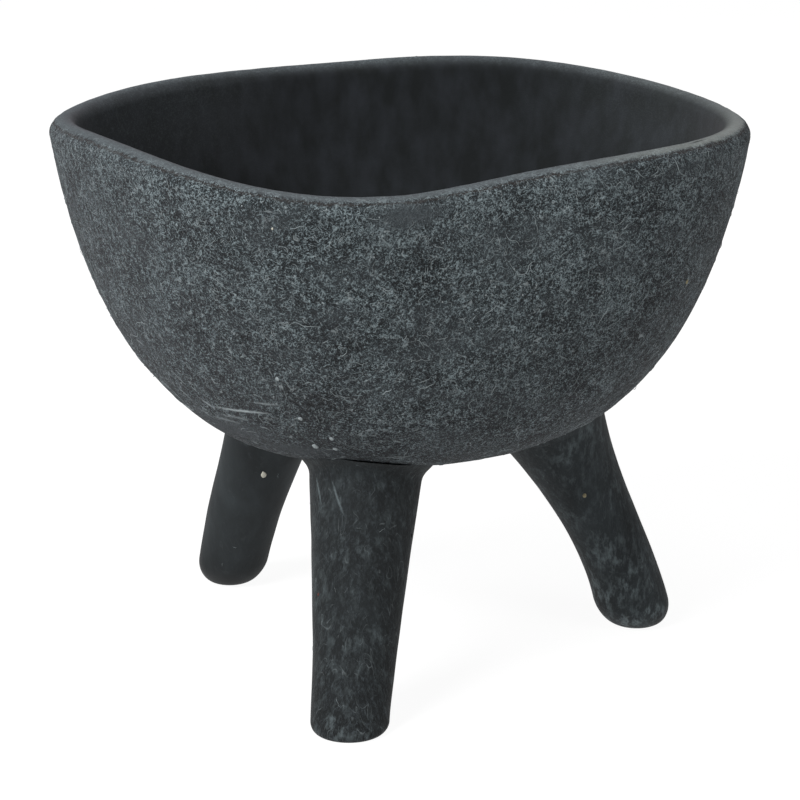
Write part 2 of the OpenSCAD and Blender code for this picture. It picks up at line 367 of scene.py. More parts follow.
class PULP_OT_bowl(bpy.types.Operator):
    """Spin the wall of the bowl, then push it out of round and dent it as hands do"""
    bl_idname = "pulp.bowl"
    bl_label = "Bowl"

    def execute(self, context):
        bowl = context.scene.pulp_bowl
        bm = bmesh.new()
        share_layer = bm.verts.layers.float.new("share")
        width_layer = bm.verts.layers.float.new("width")
        rubbed = bm.verts.layers.float.new("rubbed")
        inner = bm.verts.layers.float.new("inner")
        pale = bm.verts.layers.float.new("pale")

        def add(place, width, share, rub, inside):
            vert = bm.verts.new((place.x, 0, place.y))
            vert[share_layer], vert[width_layer], vert[rubbed], vert[inner] = share, width, rub, inside
            return vert

        line = []
        wall_rows, rim_rows, inner_rows = 112, 26, 76
        for j in range(wall_rows + 1):
            place, width, share = wall_point(bowl, j / wall_rows)
            line.append(add(place, width, share, 0, 0))
        direction = wall_direction(bowl, 1)
        inwards = Vector((-direction.y, direction.x))
        edge = wall_point(bowl, 1)[0]
        for j in range(1, rim_rows):
            f = math.pi * j / rim_rows
            place = edge + bowl.wall / 2 * (inwards * (1 - math.cos(f)) + direction * math.sin(f))
            line.append(add(place, 1, 1, smooth_step(0.7, 1.5, f), smooth_step(1.45, 2.9, f)))
        for j in range(inner_rows, -1, -1):
            u = j / inner_rows
            place, width, share = wall_point(bowl, u)
            direction = wall_direction(bowl, u)
            place = place + bowl.wall * Vector((-direction.y, direction.x))
            if j == 0:
                place.x = 0
            line.append(add(place, width, share, 1, 1))
        edges = [bm.edges.new(pair) for pair in zip(line, line[1:])]
        bmesh.ops.spin(bm, geom=line + edges, cent=(0, 0, 0), axis=(0, 0, 1), angle=math.tau, steps=396,
                       use_merge=True)
        bmesh.ops.remove_doubles(bm, verts=bm.verts, dist=1e-6)
        middle = to_middle()
        for vert in bm.verts:
            turn = math.atan2(vert.co.y, vert.co.x)
            radius = math.hypot(vert.co.x, vert.co.y)
            share = vert[share_layer]
            if radius > 1e-6:
                pushed = radius + vert[width_layer] * corners(bowl, turn) * share ** bowl.fade
                vert.co.x *= pushed / radius
                vert.co.y *= pushed / radius
            vert.co.z += rises(bowl, turn) * share
            vert.co += middle
        bmesh.ops.recalc_face_normals(bm, faces=bm.faces)
        bm.normal_update()
        for vert in bm.verts:
            place, kept = vert.co, 1 - 0.6 * max(vert[rubbed], vert[inner])
            depth = 0.6 + rough(place, 26 * MM, 3) + 0.5 * rough(place, 9 * MM, 7)
            depth += 0.55 * rough(place, 4.5 * MM, 12)
            push = max(0.0, depth) * 0.5 * bowl.dents * kept
            from_thumb = (place - MM * Vector(SMEARS[0][0])).length
            push += THUMB_DEPTH * (1 - smooth_step(0, THUMB_REACH, from_thumb))
            if vert[inner] < 0.1 and vert[rubbed] < 0.1:
                push -= SAG_DEPTH * (1 - smooth_step(0, SAG_REACH, (place - SAG).length))
            turn = math.atan2(place.y, place.x)
            low_side = max(0.0, math.cos(1.5 * (turn - LOW_TURN))) if abs(turn - LOW_TURN) < 1.0 else 0.0
            dusty = smooth_step(0.5, 1, vert[share_layer]) * smooth_step(30 * MM, 95 * MM, abs(place.x))
            vert[inner] = min(vert[inner], 1 - dusty * (0.4 if place.x < 0 else 0.15))
            # Painted light: the rim is made paler towards the right, and less so at the back
            at_back = smooth_step(-20 * MM, 50 * MM, place.y)
            vert[pale] = smooth_step(35 * MM, 100 * MM, place.x) * (1 - 0.7 * at_back)
            drop = Vector((0, 0, LOW_DEPTH)) * low_side ** 2 * vert[share_layer] ** 4
            vert.co = place - vert.normal * push - drop
        piece = new_piece("bowl_wall", bm, "bowl", [wall_pulp()])
        if not piece.data.polygons:
            raise RuntimeError("the bowl has no faces")
        return {"FINISHED"}


# ---------------------------------------------------------------- shape of a leg

def through(steps, z):
    """Smooth value at a height, through four values that stand 24 mm apart."""
    t = z / (24 * MM)
    a, b, c, d = steps
    return MM * (-a * (t - 1) * (t - 2) * (t - 3) / 6 + b * t * (t - 2) * (t - 3) / 2
                 - c * t * (t - 1) * (t - 3) / 2 + d * t * (t - 1) * (t - 2) / 6)


def leg_point(legs, side, turn, z):
    """Point of a leg's side in a direction and at a height, before the bowl is centred."""
    lean = math.radians(getattr(legs, side + "_turn"))
    reach = through(getattr(legs, side + "_reach"), z)
    drift = through(getattr(legs, side + "_drift"), z)
    girth = through(getattr(legs, side + "_girth"), z)
    inwards, upwards = (MM * value for value in getattr(legs, side + "_foot"))
    if z < upwards:
        girth -= inwards * (1 - math.sqrt(max(0.0, 1 - (1 - max(z, 0.0) / upwards) ** 2)))
    return Vector((reach * math.cos(lean) - drift * math.sin(lean) + girth * math.cos(turn),
                   reach * math.sin(lean) + drift * math.cos(lean) + girth * math.sin(turn), z))


def leg_top(bowl, legs, side, turn):
    """Height at which a leg's side meets the pulp under the bowl."""
    low, high = 0.05, 0.105
    for _ in range(16):
        z = (low + high) / 2
        point = leg_point(legs, side, turn, z)
        if under_bowl(bowl, point.x, point.y) - legs.bed > z:
            low = z
        else:
            high = z
    return low


class PULP_OT_legs(bpy.types.Operator):
    """Draw three legs up out of circles until they meet the underside of the bowl"""
    bl_idname = "pulp.legs"
    bl_label = "Legs"

    def execute(self, context):
        bowl, legs = context.scene.pulp_bowl, context.scene.pulp_legs
        middle = to_middle()
        sides, rows = 96, 120

        def steps_round(verts):
            """Which step round the ring each vertex stands on."""
            return {v: round(math.atan2(v.co.y, v.co.x) / math.tau * sides) % sides for v in verts}

        for seed, side in enumerate(LEG_FINISH_AND_SHADE):
            tops = [leg_top(bowl, legs, side, math.tau * i / sides) for i in range(sides)]
            bm = bmesh.new()
            worn = bm.verts.layers.float.new("worn")
            dust = bm.verts.layers.float.new("dust")
            shade = bm.verts.layers.float.new("shade")
            ring = bmesh.ops.create_circle(bm, cap_ends=False, segments=sides, radius=1)["verts"]
            loop = list(bm.edges)
            rings = [steps_round(ring)]
            for _ in range(rows):
                made = bmesh.ops.extrude_edge_only(bm, edges=loop)["geom"]
                verts = [part for part in made if isinstance(part, bmesh.types.BMVert)]
                rings.append(steps_round(verts))
                loop = [part for part in made if isinstance(part, bmesh.types.BMEdge)]
            for j, order in enumerate(rings):
                up = (j / rows) ** 1.5
                for vert, i in order.items():
                    vert.co = leg_point(legs, side, math.tau * i / sides, tops[i] * up) + middle
            bmesh.ops.edgeloop_fill(bm, edges=[edge for edge in bm.edges if edge.is_boundary])
            bmesh.ops.recalc_face_normals(bm, faces=bm.faces)
            bm.normal_update()
            for order in rings[1:]:
                for vert in order:
                    flat = Vector((vert.co.x, vert.co.y, vert.co.z * 0.22))
                    depth = 0.8 + rough(vert.co, 15 * MM, seed + 20) + 0.5 * rough(flat, 4 * MM, seed + 30)
                    push = Vector((vert.normal.x, vert.normal.y, 0)) * max(0.0, depth) * 0.22 * MM
                    vert.co -= push * smooth_step(0, 4 * MM, vert.co.z)
            rough_share, dust_and_light_share, foot_shade, top_shade = LEG_FINISH_AND_SHADE[side]
            for vert in bm.verts:
                low = 1 - smooth_step(0, 40 * MM, vert.co.z)
                vert[worn] = rough_share * (0.7 + 0.3 * low)
                cloud = smooth_step(-0.2, 0.5, rough(vert.co, 9 * MM, seed + 40))
                # Dust patches, heavier towards the foot: the rise towards the foot is painted light on the
                # lower leg
                vert[dust] = dust_and_light_share * (0.4 + 0.6 * cloud) * (0.6 + 0.5 * low)
                # Painted shade: darker at the top under the bowl and at the foot, by the leg's two values
                vert[shade] = top_shade + (foot_shade - top_shade) * low
            new_piece("leg_" + side + "_rolled", bm, "leg_" + side, [leg_pulp()])
        return {"FINISHED"}


class PULP_OT_joints(bpy.types.Operator):
    """Smooth the pulp that was worked round the top of each leg"""
    bl_idname = "pulp.joints"
    bl_label = "Joints"

    def execute(self, context):
        bowl, legs, middle = context.scene.pulp_bowl, context.scene.pulp_legs, to_middle()
        for side, (rough_share, dust_and_light_share, _, top_shade) in LEG_FINISH_AND_SHADE.items():
            node = "collar_" + side
            bm = bmesh.new()
            bm.from_mesh(frame["nodes"][node].data)
            bmesh.ops.remove_doubles(bm, verts=bm.verts, dist=1e-6)
            worn, dust, shade = (bm.verts.layers.float.new(name) for name in ("worn", "dust", "shade"))
            axis = sum((vert.co for vert in bm.verts), Vector()) / len(bm.verts)
            for vert in bm.verts:
                # The collar takes some of its leg's dust and the painted shade that the leg has at its top,
                # under the bowl
                vert[worn], vert[dust], vert[shade] = 0.6 * rough_share, 0.3 * dust_and_light_share, top_shade
                under = under_bowl(bowl, vert.co.x - middle.x, vert.co.y - middle.y)
                gap = under - vert.co.z
                across = vert.co.x - axis.x
                crack = smooth_step(*CRACK_OPENS, across) * (1 - smooth_step(*CRACK_CLOSES, across))
                if gap < 0.6 * MM:
                    vert.co.z += gap + (0.15 - 0.7 * crack * (side == "front")) * MM
                else:
                    inwards = Vector((axis.x - vert.co.x, axis.y - vert.co.y, 0)).normalized()
                    vert.co += inwards * 0.5 * MM * smooth_step(1.2 * MM, 3.5 * MM, gap)
            piece = new_piece(node + "_smeared", bm, node, [joint_pulp()])
            smooth = piece.modifiers.new("Smoothing", "SUBSURF")
            smooth.levels = smooth.render_levels = 2
        for side in LEG_FINISH_AND_SHADE:
            bed = frame["nodes"]["bed_" + side]
            bed.data.materials.clear()
            bed.data.materials.append(joint_pulp())
        return {"FINISHED"}


# ---------------------------------------------------------------- loose fibres

class PULP_OT_fibres(bpy.types.Operator):
    """Lay curly paper fibres on the wall, the rim and the legs"""
    bl_idname = "pulp.fibres"
    bl_label = "Fibres"

    def execute(self, context):
        looks = context.scene.pulp_looks
        chance = random.Random(11)
        low, high = CAD_BOX[0], CAD_BOX[1]
        grounds = [("bowl_wall", looks.fibres, 1.0)]
        grounds += [("leg_" + side + "_rolled", looks.fibres // 120, 0.5) for side in LEG_FINISH_AND_SHADE]
        for ground, count, size in grounds:
            mesh = bpy.data.objects[ground].data
            tree = tree_of(mesh)
            curve = bpy.data.curves.new("fibres", "CURVE")
            curve.dimensions = "3D"
            curve.bevel_depth = FIBRE_RADIUS
            curve.bevel_resolution = 0
            for polygon in chosen_faces(mesh, count, chance):
                points = self.curl(tree, polygon, size, chance)
                if not all(low[i] + EDGE < p[i] < high[i] - EDGE for p in points for i in range(3)):
                    continue
                spline = curve.splines.new("POLY")
                spline.points.add(len(points) - 1)
                thick = size * chance.uniform(0.7, 1.3)
                for k, point in enumerate(points):
                    spline.points[k].co = (*point, 1)
                    spline.points[k].radius = thick * (0.5 + 0.5 * math.sin(math.pi * k / (len(points) - 1)))
            holder = bpy.data.objects.new("fibres_" + ground, curve)
            context.scene.collection.objects.link(holder)
            context.view_layer.update()
            solid = bpy.data.meshes.new_from_object(holder.evaluated_get(context.evaluated_depsgraph_get()))
            bpy.data.objects.remove(holder)
            bm = bmesh.new()
            bm.from_mesh(solid)
            new_piece("fibres_on_" + ground, bm, None, [fibre_paper()])
        return {"FINISHED"}

    @staticmethod
    def curl(tree, polygon, size, chance):
        """Points of one fibre that wanders over the surface from a face, close above it."""
        steps = 14
        place, normal = polygon.center.copy(), polygon.normal.copy()
        anywhere = Vector((chance.uniform(-1, 1), chance.uniform(-1, 1), chance.uniform(-1, 1)))
        heading = normal.cross(anywhere).normalized()
        long = size * min(11, chance.lognormvariate(1.05, 0.5)) * MM
        lift = (chance.uniform(0.3, 0.9) if chance.random() < 0.01 else chance.uniform(0.01, 0.14)) * MM
        bends = [(chance.uniform(0.05, 0.3), chance.uniform(0.25, 0.6), chance.uniform(0, 6.3)),
                 (chance.uniform(0.05, 0.35), chance.uniform(0.8, 1.6), chance.uniform(0, 6.3))]
        points = []
        for k in range(steps):
            points.append(place + normal * (0.02 * MM + lift * math.sin(math.pi * k / (steps - 1))))
            place, normal, _, _ = tree.find_nearest(place + heading * long / steps)
            twist = sum(amount * math.sin(pace * k + start) for amount, pace, start in bends)
            heading = (heading - normal * heading.dot(normal)).normalized()
            heading = heading * math.cos(twist) + normal.cross(heading) * math.sin(twist)
        return points


class PULP_OT_bits(bpy.types.Operator):
    """Press bits and specks of waste paper half into the surface"""
    bl_idname = "pulp.bits"
    bl_label = "Bits of paper"

    def execute(self, context):
        wall = bpy.data.objects["bowl_wall"].data
        grounds = [wall] + [bpy.data.objects["leg_" + side + "_rolled"].data for side in LEG_FINISH_AND_SHADE]
        trees = [tree_of(mesh) for mesh in grounds]
        for kind in BIT_COLOURS:
            bm = bmesh.new()
            for seed, (place, radius, colour_of) in enumerate(BITS):
                if colour_of == kind:
                    hits = (tree.find_nearest(MM * Vector(place)) for tree in trees)
                    spot, normal, _, _ = min(hits, key=lambda hit: hit[3])
                    self.press(bm, spot, normal, radius * MM, 2, seed)
            new_piece("paper_bits_" + kind, bm, None, [bit_paper(kind)])
        chance = random.Random(23)
        bm = bmesh.new()
        for seed, polygon in enumerate(chosen_faces(wall, context.scene.pulp_looks.specks, chance)):
            radius = chance.uniform(0.16, 0.34) * MM
            self.press(bm, polygon.center, polygon.normal, radius, 1, seed)
        new_piece("paper_specks", bm, None, [bit_paper("grey")])
        return {"FINISHED"}

    @staticmethod
    def press(bm, place, normal, radius, fineness, seed):
        """Adds one flattened, uneven bit whose middle lies in the surface."""
        made = bmesh.ops.create_icosphere(bm, subdivisions=fineness, radius=radius)["verts"]
        turned = normal.to_track_quat("Z", "X").to_matrix()
        for vert in made:
            lump = 1 + 0.35 * rough(vert.co, 0.8 * MM, seed + 50)
            flat = Vector((vert.co.x, 0.75 * vert.co.y, 0.35 * vert.co.z)) * lump
            vert.co = place + turned @ flat
        bmesh.ops.recalc_face_normals(bm, faces=list({face for vert in made for face in vert.link_faces}))


# ---------------------------------------------------------------- materials

def node_of(tree, kind, settings=None, **links):
    """Adds a node, sets its options and values, and feeds its inputs with sockets or plain values."""
    made = tree.nodes.new(kind)
    for key, value in (settings or {}).items():
        if isinstance(key, str) and key not in made.inputs:
            setattr(made, key, value)
        else:
            made.inputs[key].default_value = value
    for key, source in links.items():
        socket = made.inputs[int(key[1:]) if key[0] == "_" else key.replace("_", " ")]
        if isinstance(source, bpy.types.NodeSocket):
            tree.links.new(source, socket)
        else:
            socket.default_value = source
    return made


def fresh_material(name):
    """A new empty material and its node tree, or a made one and None."""
    if name in bpy.data.materials:
        return bpy.data.materials[name], None
    material = bpy.data.materials.new(name)
    material.use_nodes = True
    material.node_tree.nodes.clear()
    return material, material.node_tree


def rgba(values):
    return (*values, 1.0)


def strings(tree, place, seed, spacing, width, twist=1.0):
    """Curly lines, as of fibres matted together: 1 on a line and 0 between the lines."""
    moved = node_of(tree, "ShaderNodeMapping", {"Location": (seed, -1.3 * seed, 0.7 * seed)}, Vector=place)
    field = node_of(tree, "ShaderNodeTexNoise", {"Scale": 1 / spacing, "Detail": 1.0, "Roughness": 0.5,
                                                 "Distortion": twist}, Vector=moved.outputs["Vector"])
    off = node_of(tree, "ShaderNodeMath", {"operation": "SUBTRACT", 1: 0.5}, _0=field.outputs["Fac"])
    off = node_of(tree, "ShaderNodeMath", {"operation": "ABSOLUTE"}, _0=off.outputs["Value"])
    line = node_of(tree, "ShaderNodeMapRange", {"From Min": 0.15 * width, "From Max": width, "To Min": 1.0,
                                                "To Max": 0.0}, Value=off.outputs["Value"])
    return line.outputs["Result"]


def weighed(tree, *parts, start=0.0):
    """Sum of sockets, each times its weight, added to a start."""
    total = None
    for socket, weight in parts:
        links = {"_0": socket} if total is None else {"_0": socket, "_2": total}
        total = node_of(tree, "ShaderNodeMath", {"operation": "MULTIPLY_ADD", 1: weight,
                                                 **({2: start} if total is None else {})}, **links)
        total = total.outputs["Value"]
    return total


def pulp_surface(tree, tints, grain, stops, stretch=(1, 1, 1), more=()):
    """Colour and height of felted pulp: matted strings, specks, clumps, pits and blotches. Further parts
    of the tone are pairs of a socket and its weight."""
    place = node_of(tree, "ShaderNodeTexCoord").outputs["Object"]
    if stretch != (1, 1, 1):
        place = node_of(tree, "ShaderNodeMapping", {"Scale": stretch}, Vector=place).outputs["Vector"]
    mat = strings(tree, place, 0.21, 1.7 * grain, 0.05, 0.7)
    mat_2 = strings(tree, place, 0.83, 1.3 * grain, 0.05, 0.7)
    fine = node_of(tree, "ShaderNodeTexNoise", {"Scale": 1.7 / grain, "Detail": 2.0, "Roughness": 0.6},
                   Vector=place).outputs["Fac"]
    clumps = node_of(tree, "ShaderNodeTexNoise", {"Scale": 0.42 / grain, "Detail": 3.0, "Roughness": 0.6,
                                                  "Distortion": 0.4}, Vector=place).outputs["Fac"]
    blotch = node_of(tree, "ShaderNodeTexNoise", {"Scale": 1 / (14 * MM), "Detail": 3.0, "Roughness": 0.5},
                     Vector=place).outputs["Fac"]
    height = weighed(tree, (mat, 0.2), (mat_2, 0.2), (fine, 0.9), (clumps, 0.9))
    tone = weighed(tree, (mat, 0.3), (mat_2, 0.3), (fine, 1.1), (clumps, 0.75), (blotch, 0.4), *more,
                   start=-0.735)
    ramp = node_of(tree, "ShaderNodeValToRGB", None, Fac=tone)
    low, middle, high = stops
    ramp.color_ramp.elements[0].position, ramp.color_ramp.elements[0].color = low, rgba(tints[0])
    ramp.color_ramp.elements[1].position, ramp.color_ramp.elements[1].color = high, rgba(tints[2])
    between = ramp.color_ramp.elements.new(middle)
    between.color = rgba(tints[1])
    return place, height, ramp.outputs["Color"]


def fibre_marks(tree, place, seed):
    """Thin curved lines, broken into short lengths, where pale fibres lie in the surface."""
    line = strings(tree, place, seed, 6 * MM, 0.014, 1.6)
    moved = node_of(tree, "ShaderNodeMapping", {"Location": (seed, seed, seed)}, Vector=place)
    breaks = node_of(tree, "ShaderNodeTexNoise", {"Scale": 1 / (3 * MM), "Detail": 1.0},
                     Vector=moved.outputs["Vector"]).outputs["Fac"]
    gap = node_of(tree, "ShaderNodeMapRange", {"From Min": 0.52, "From Max": 0.60}, Value=breaks)
    return node_of(tree, "ShaderNodeMath", {"operation": "MULTIPLY"}, _0=line,
                   _1=gap.outputs["Result"]).outputs["Value"]


def scuff(tree, place, middle, turn, slope, size, strength):
    """A long thin mark with soft, broken edges: its middle and half sizes in millimetres, its direction in
    plan and its slope in degrees."""
    moved = node_of(tree, "ShaderNodeMapping", {
        "vector_type": "TEXTURE", "Location": [MM * v for v in middle], "Scale": [MM * v for v in size],
        "Rotation": (0, -math.radians(slope), math.radians(turn))}, Vector=place)
    spot = node_of(tree, "ShaderNodeTexGradient", {"gradient_type": "SPHERICAL"},
                   Vector=moved.outputs["Vector"]).outputs["Fac"]
    broken = node_of(tree, "ShaderNodeTexNoise", {"Scale": 1 / (0.9 * MM), "Detail": 3.0}, Vector=place)
    worn = weighed(tree, (spot, 1.0), (broken.outputs["Fac"], 0.8), start=-0.45)
    mark = node_of(tree, "ShaderNodeMapRange", {"From Min": 0.1, "From Max": 0.7, "To Max": strength},
                   Value=worn).outputs["Result"]
    here = node_of(tree, "ShaderNodeMath", {"operation": "GREATER_THAN", 1: 0.0}, _0=spot).outputs["Value"]
    return node_of(tree, "ShaderNodeMath", {"operation": "MULTIPLY"}, _0=mark, _1=here).outputs["Value"]


def wall_pulp():
    """Dyed paper pulp, pressed by hand and air-dried: felted, matt, pitted, with pale fibres; the rim and
    the inside were wiped with a wet thumb, so they are smoother. Painted shade darkens the wall towards the
    underside; a brown line of dirt and painted shade runs along the lower edge of the rubbed rim; painted
    light makes the rim paler on the right."""
    material, tree = fresh_material("dyed_paper_pulp_wall")
    if tree is None:
        return material
    looks = bpy.context.scene.pulp_looks
    # Painted shade: the tone of the grain rises with the height up the wall, so the wall is darker towards
    # the underside
    share = node_of(tree, "ShaderNodeAttribute", {"attribute_name": "share"}).outputs["Fac"]
    place, height, tint = pulp_surface(tree, (looks.deep, looks.body, looks.fleck), looks.grain,
                                       WALL_STOPS, more=((share, 0.1),))
    raw = node_of(tree, "ShaderNodeAttribute", {"attribute_name": "rubbed"}).outputs["Fac"]
    inner = node_of(tree, "ShaderNodeAttribute", {"attribute_name": "inner"}).outputs["Fac"]
    edge = node_of(tree, "ShaderNodeTexNoise", {"Scale": 1 / (1.5 * MM), "Detail": 3.0}, Vector=place)
    ragged = weighed(tree, (raw, 1.0), (edge.outputs["Fac"], 0.9), start=-0.45)
    rubbed = node_of(tree, "ShaderNodeMapRange", {"From Min": 0.25, "From Max": 0.75}, Value=ragged)
    rubbed = rubbed.outputs["Result"]
    lines = node_of(tree, "ShaderNodeMath", {"operation": "MAXIMUM"}, _0=fibre_marks(tree, place, 0.37),
                    _1=fibre_marks(tree, place, 1.91)).outputs["Value"]
    lines = node_of(tree, "ShaderNodeMath", {"operation": "MULTIPLY", 1: 0.5}, _0=lines).outputs["Value"]
    tint = node_of(tree, *COLOUR_MIX, _0=lines, _6=tint, _7=rgba(looks.thread)).outputs[2]
    wide = node_of(tree, "ShaderNodeMapping", {"Scale": (1, 1, 2.5)}, Vector=place).outputs["Vector"]
    wiped = node_of(tree, "ShaderNodeTexNoise", {"Scale": 1 / (22 * MM), "Detail": 3.0}, Vector=wide)
    wiped = node_of(tree, "ShaderNodeMapRange", {"From Min": 0.45, "From Max": 0.75, "To Max": 0.45},
                    Value=wiped.outputs["Fac"]).outputs["Result"]
    smeared = node_of(tree, *COLOUR_MIX, _0=edge.outputs["Fac"], _6=rgba(looks.body), _7=rgba(looks.rim))
    for smear in SMEARS:
        mark = scuff(tree, place, *smear)
        wiped = node_of(tree, "ShaderNodeMath", {"operation": "MAXIMUM"}, _0=wiped, _1=mark).outputs["Value"]
    tint = node_of(tree, *COLOUR_MIX, _0=wiped, _6=tint, _7=smeared.outputs[2]).outputs[2]
    # Brown dirt and painted shade: a ragged dark line along the lower edge of the rubbed rim
    up = node_of(tree, "ShaderNodeMapRange", {"From Min": 0.02, "From Max": 0.15}, Value=ragged)
    down = node_of(tree, "ShaderNodeMapRange", {"From Min": 0.15, "From Max": 0.4}, Value=ragged)
    near = node_of(tree, "ShaderNodeMapRange", {"From Max": 0.05}, Value=raw)
    crease_dirt_and_shade = weighed(tree, (up.outputs["Result"], 0.7), (down.outputs["Result"], -0.7))
    crease_dirt_and_shade = node_of(tree, "ShaderNodeMath", {"operation": "MULTIPLY"}, _0=crease_dirt_and_shade, _1=near.outputs["Result"])
    tint = node_of(tree, *COLOUR_MIX, _0=crease_dirt_and_shade.outputs["Value"], _6=tint, _7=rgba(looks.crease)).outputs[2]
    # Painted light: the rim is mixed towards the pale colour on its right side, less at the back
    pale = node_of(tree, "ShaderNodeAttribute", {"attribute_name": "pale"}).outputs["Fac"]
    rim = node_of(tree, *COLOUR_MIX, _0=pale, _6=rgba(looks.rim), _7=rgba(looks.pale)).outputs[2]
    rim = node_of(tree, *COLOUR_MIX, _0=0.3, _6=rim, _7=tint).outputs[2]
    tint = node_of(tree, *COLOUR_MIX, _0=rubbed, _6=tint, _7=rim).outputs[2]
    drawn = node_of(tree, "ShaderNodeMapping", {"Scale": (1, 1, 0.5)}, Vector=place).outputs["Vector"]
    drawn = node_of(tree, "ShaderNodeTexNoise", {"Scale": 1 / (6 * MM), "Detail": 3.0}, Vector=drawn)
    drawn = node_of(tree, "ShaderNodeMapRange", {"From Min": 0.36, "From Max": 0.72, "To Max": 0.8},
                    Value=drawn.outputs["Fac"]).outputs["Result"]
    inside = node_of(tree, *COLOUR_MIX, _0=drawn, _6=rgba(looks.deep), _7=rgba(looks.inside)).outputs[2]
    tint = node_of(tree, *COLOUR_MIX, _0=inner, _6=tint, _7=inside).outputs[2]
    for scratch in SCRATCHES:
        mark = scuff(tree, place, *scratch)
        tint = node_of(tree, *COLOUR_MIX, _0=mark, _6=tint, _7=rgba(looks.thread)).outputs[2]
    lap = scuff(tree, place, *RIM_LAP)
    tint = node_of(tree, *COLOUR_MIX, _0=lap, _6=tint, _7=rgba(looks.deep)).outputs[2]
    height = weighed(tree, (height, 1.0), (lap, -1.5))
    smooth = node_of(tree, "ShaderNodeMath", {"operation": "MAXIMUM"}, _0=rubbed, _1=inner).outputs["Value"]
    strength = node_of(tree, "ShaderNodeMapRange", {"To Min": 1.0, "To Max": 0.12}, Value=smooth)
    bump = node_of(tree, "ShaderNodeBump", {"Distance": 0.65 * MM}, Height=height,
                   Strength=strength.outputs["Result"])
    polished = weighed(tree, (rubbed, 1.0), (inner, -1.0))
    gloss = node_of(tree, "ShaderNodeMapRange", {"To Min": 0.88, "To Max": 0.6}, Value=polished)
    shader = node_of(tree, "ShaderNodeBsdfPrincipled", {"Specular IOR Level": 0.15, "Sheen Weight": 0.04,
                                                        "Sheen Roughness": 0.5, "Sheen Tint": (1, 0.9, 1, 1)},
                     Base_Color=tint, Normal=bump.outputs["Normal"], Roughness=gloss.outputs["Result"])
    node_of(tree, "ShaderNodeOutputMaterial", None, Surface=shader.outputs["BSDF"])
    return material


def worn_pulp(name):
    """Pulp rolled or smeared smooth: where it is worn it has a stretched grain, and elsewhere soft
    clouds. Dust spots, which also paint light towards the feet, and painted shade lie over it."""
    material, tree = fresh_material(name)
    if tree is None:
        return material
    looks = bpy.context.scene.pulp_looks
    place, height, grainy = pulp_surface(tree, (looks.deep, looks.leg, looks.patch), 1.4 * looks.grain,
                                         WORN_STOPS, stretch=(1, 1, 0.45))
    lines = fibre_marks(tree, place, 0.9)
    lines = node_of(tree, "ShaderNodeMath", {"operation": "MULTIPLY", 1: 0.25}, _0=lines).outputs["Value"]
    grainy = node_of(tree, *COLOUR_MIX, _0=lines, _6=grainy, _7=rgba(looks.thread)).outputs[2]
    clouds = node_of(tree, "ShaderNodeTexNoise", {"Scale": 1 / (12 * MM), "Detail": 3.0, "Distortion": 0.5},
                     Vector=place)
    clouds = node_of(tree, "ShaderNodeMapRange", {"From Min": 0.35, "From Max": 0.75},
                     Value=clouds.outputs["Fac"]).outputs["Result"]
    smooth = node_of(tree, *COLOUR_MIX, _0=clouds, _6=rgba(looks.leg), _7=rgba(looks.patch)).outputs[2]
    worn = node_of(tree, "ShaderNodeAttribute", {"attribute_name": "worn"}).outputs["Fac"]
    tint = node_of(tree, *COLOUR_MIX, _0=worn, _6=smooth, _7=grainy).outputs[2]
    dusty = node_of(tree, "ShaderNodeTexNoise", {"Scale": 1 / (2.2 * MM), "Detail": 5.0, "Roughness": 0.7},
                    Vector=place).outputs["Fac"]
    # Dust spots where the dust attribute is high; towards the feet they also paint light
    dust = node_of(tree, "ShaderNodeAttribute", {"attribute_name": "dust"}).outputs["Fac"]
    dust_and_light_spots = node_of(tree, "ShaderNodeMapRange", {"From Min": 0.48, "From Max": 0.72}, Value=dusty)
    dust_and_light_spots = node_of(tree, "ShaderNodeMath", {"operation": "MULTIPLY"}, _0=dust_and_light_spots.outputs["Result"], _1=dust)
    tint = node_of(tree, *COLOUR_MIX, _0=dust_and_light_spots.outputs["Value"], _6=tint, _7=rgba(looks.fleck)).outputs[2]
    unstretched = node_of(tree, "ShaderNodeTexCoord").outputs["Object"]
    for streak in STREAKS:
        mark = scuff(tree, unstretched, *streak)
        tint = node_of(tree, *COLOUR_MIX, _0=mark, _6=tint, _7=rgba(looks.fleck)).outputs[2]
    # Painted shade: the colour is mixed towards black where the shade attribute is high
    shade = node_of(tree, "ShaderNodeAttribute", {"attribute_name": "shade"}).outputs["Fac"]
    tint = node_of(tree, *COLOUR_MIX, _0=shade, _6=tint, _7=(0, 0, 0, 1)).outputs[2]
    bump = node_of(tree, "ShaderNodeBump", {"Distance": 0.3 * MM}, Height=height, Strength=worn)
    shader = node_of(tree, "ShaderNodeBsdfPrincipled", {"Specular IOR Level": 0.15, "Roughness": 0.8,
                                                        "Sheen Weight": 0.05, "Sheen Roughness": 0.5},
                     Base_Color=tint, Normal=bump.outputs["Normal"])
    node_of(tree, "ShaderNodeOutputMaterial", None, Surface=shader.outputs["BSDF"])
    return material


def leg_pulp():
    """The same pulp rolled between the hands: smoother and darker, with streaks up the leg, dusty patches
    that also paint light towards the foot, and painted shade at the foot and under the bowl."""
    return worn_pulp("dyed_paper_pulp_leg")


def joint_pulp():
    """Wet pulp smeared over the joint and left to dry: smooth and dark like the leg that it runs into,
    with the painted shade of the leg's top.
    """
    return worn_pulp("dyed_paper_pulp_joint")


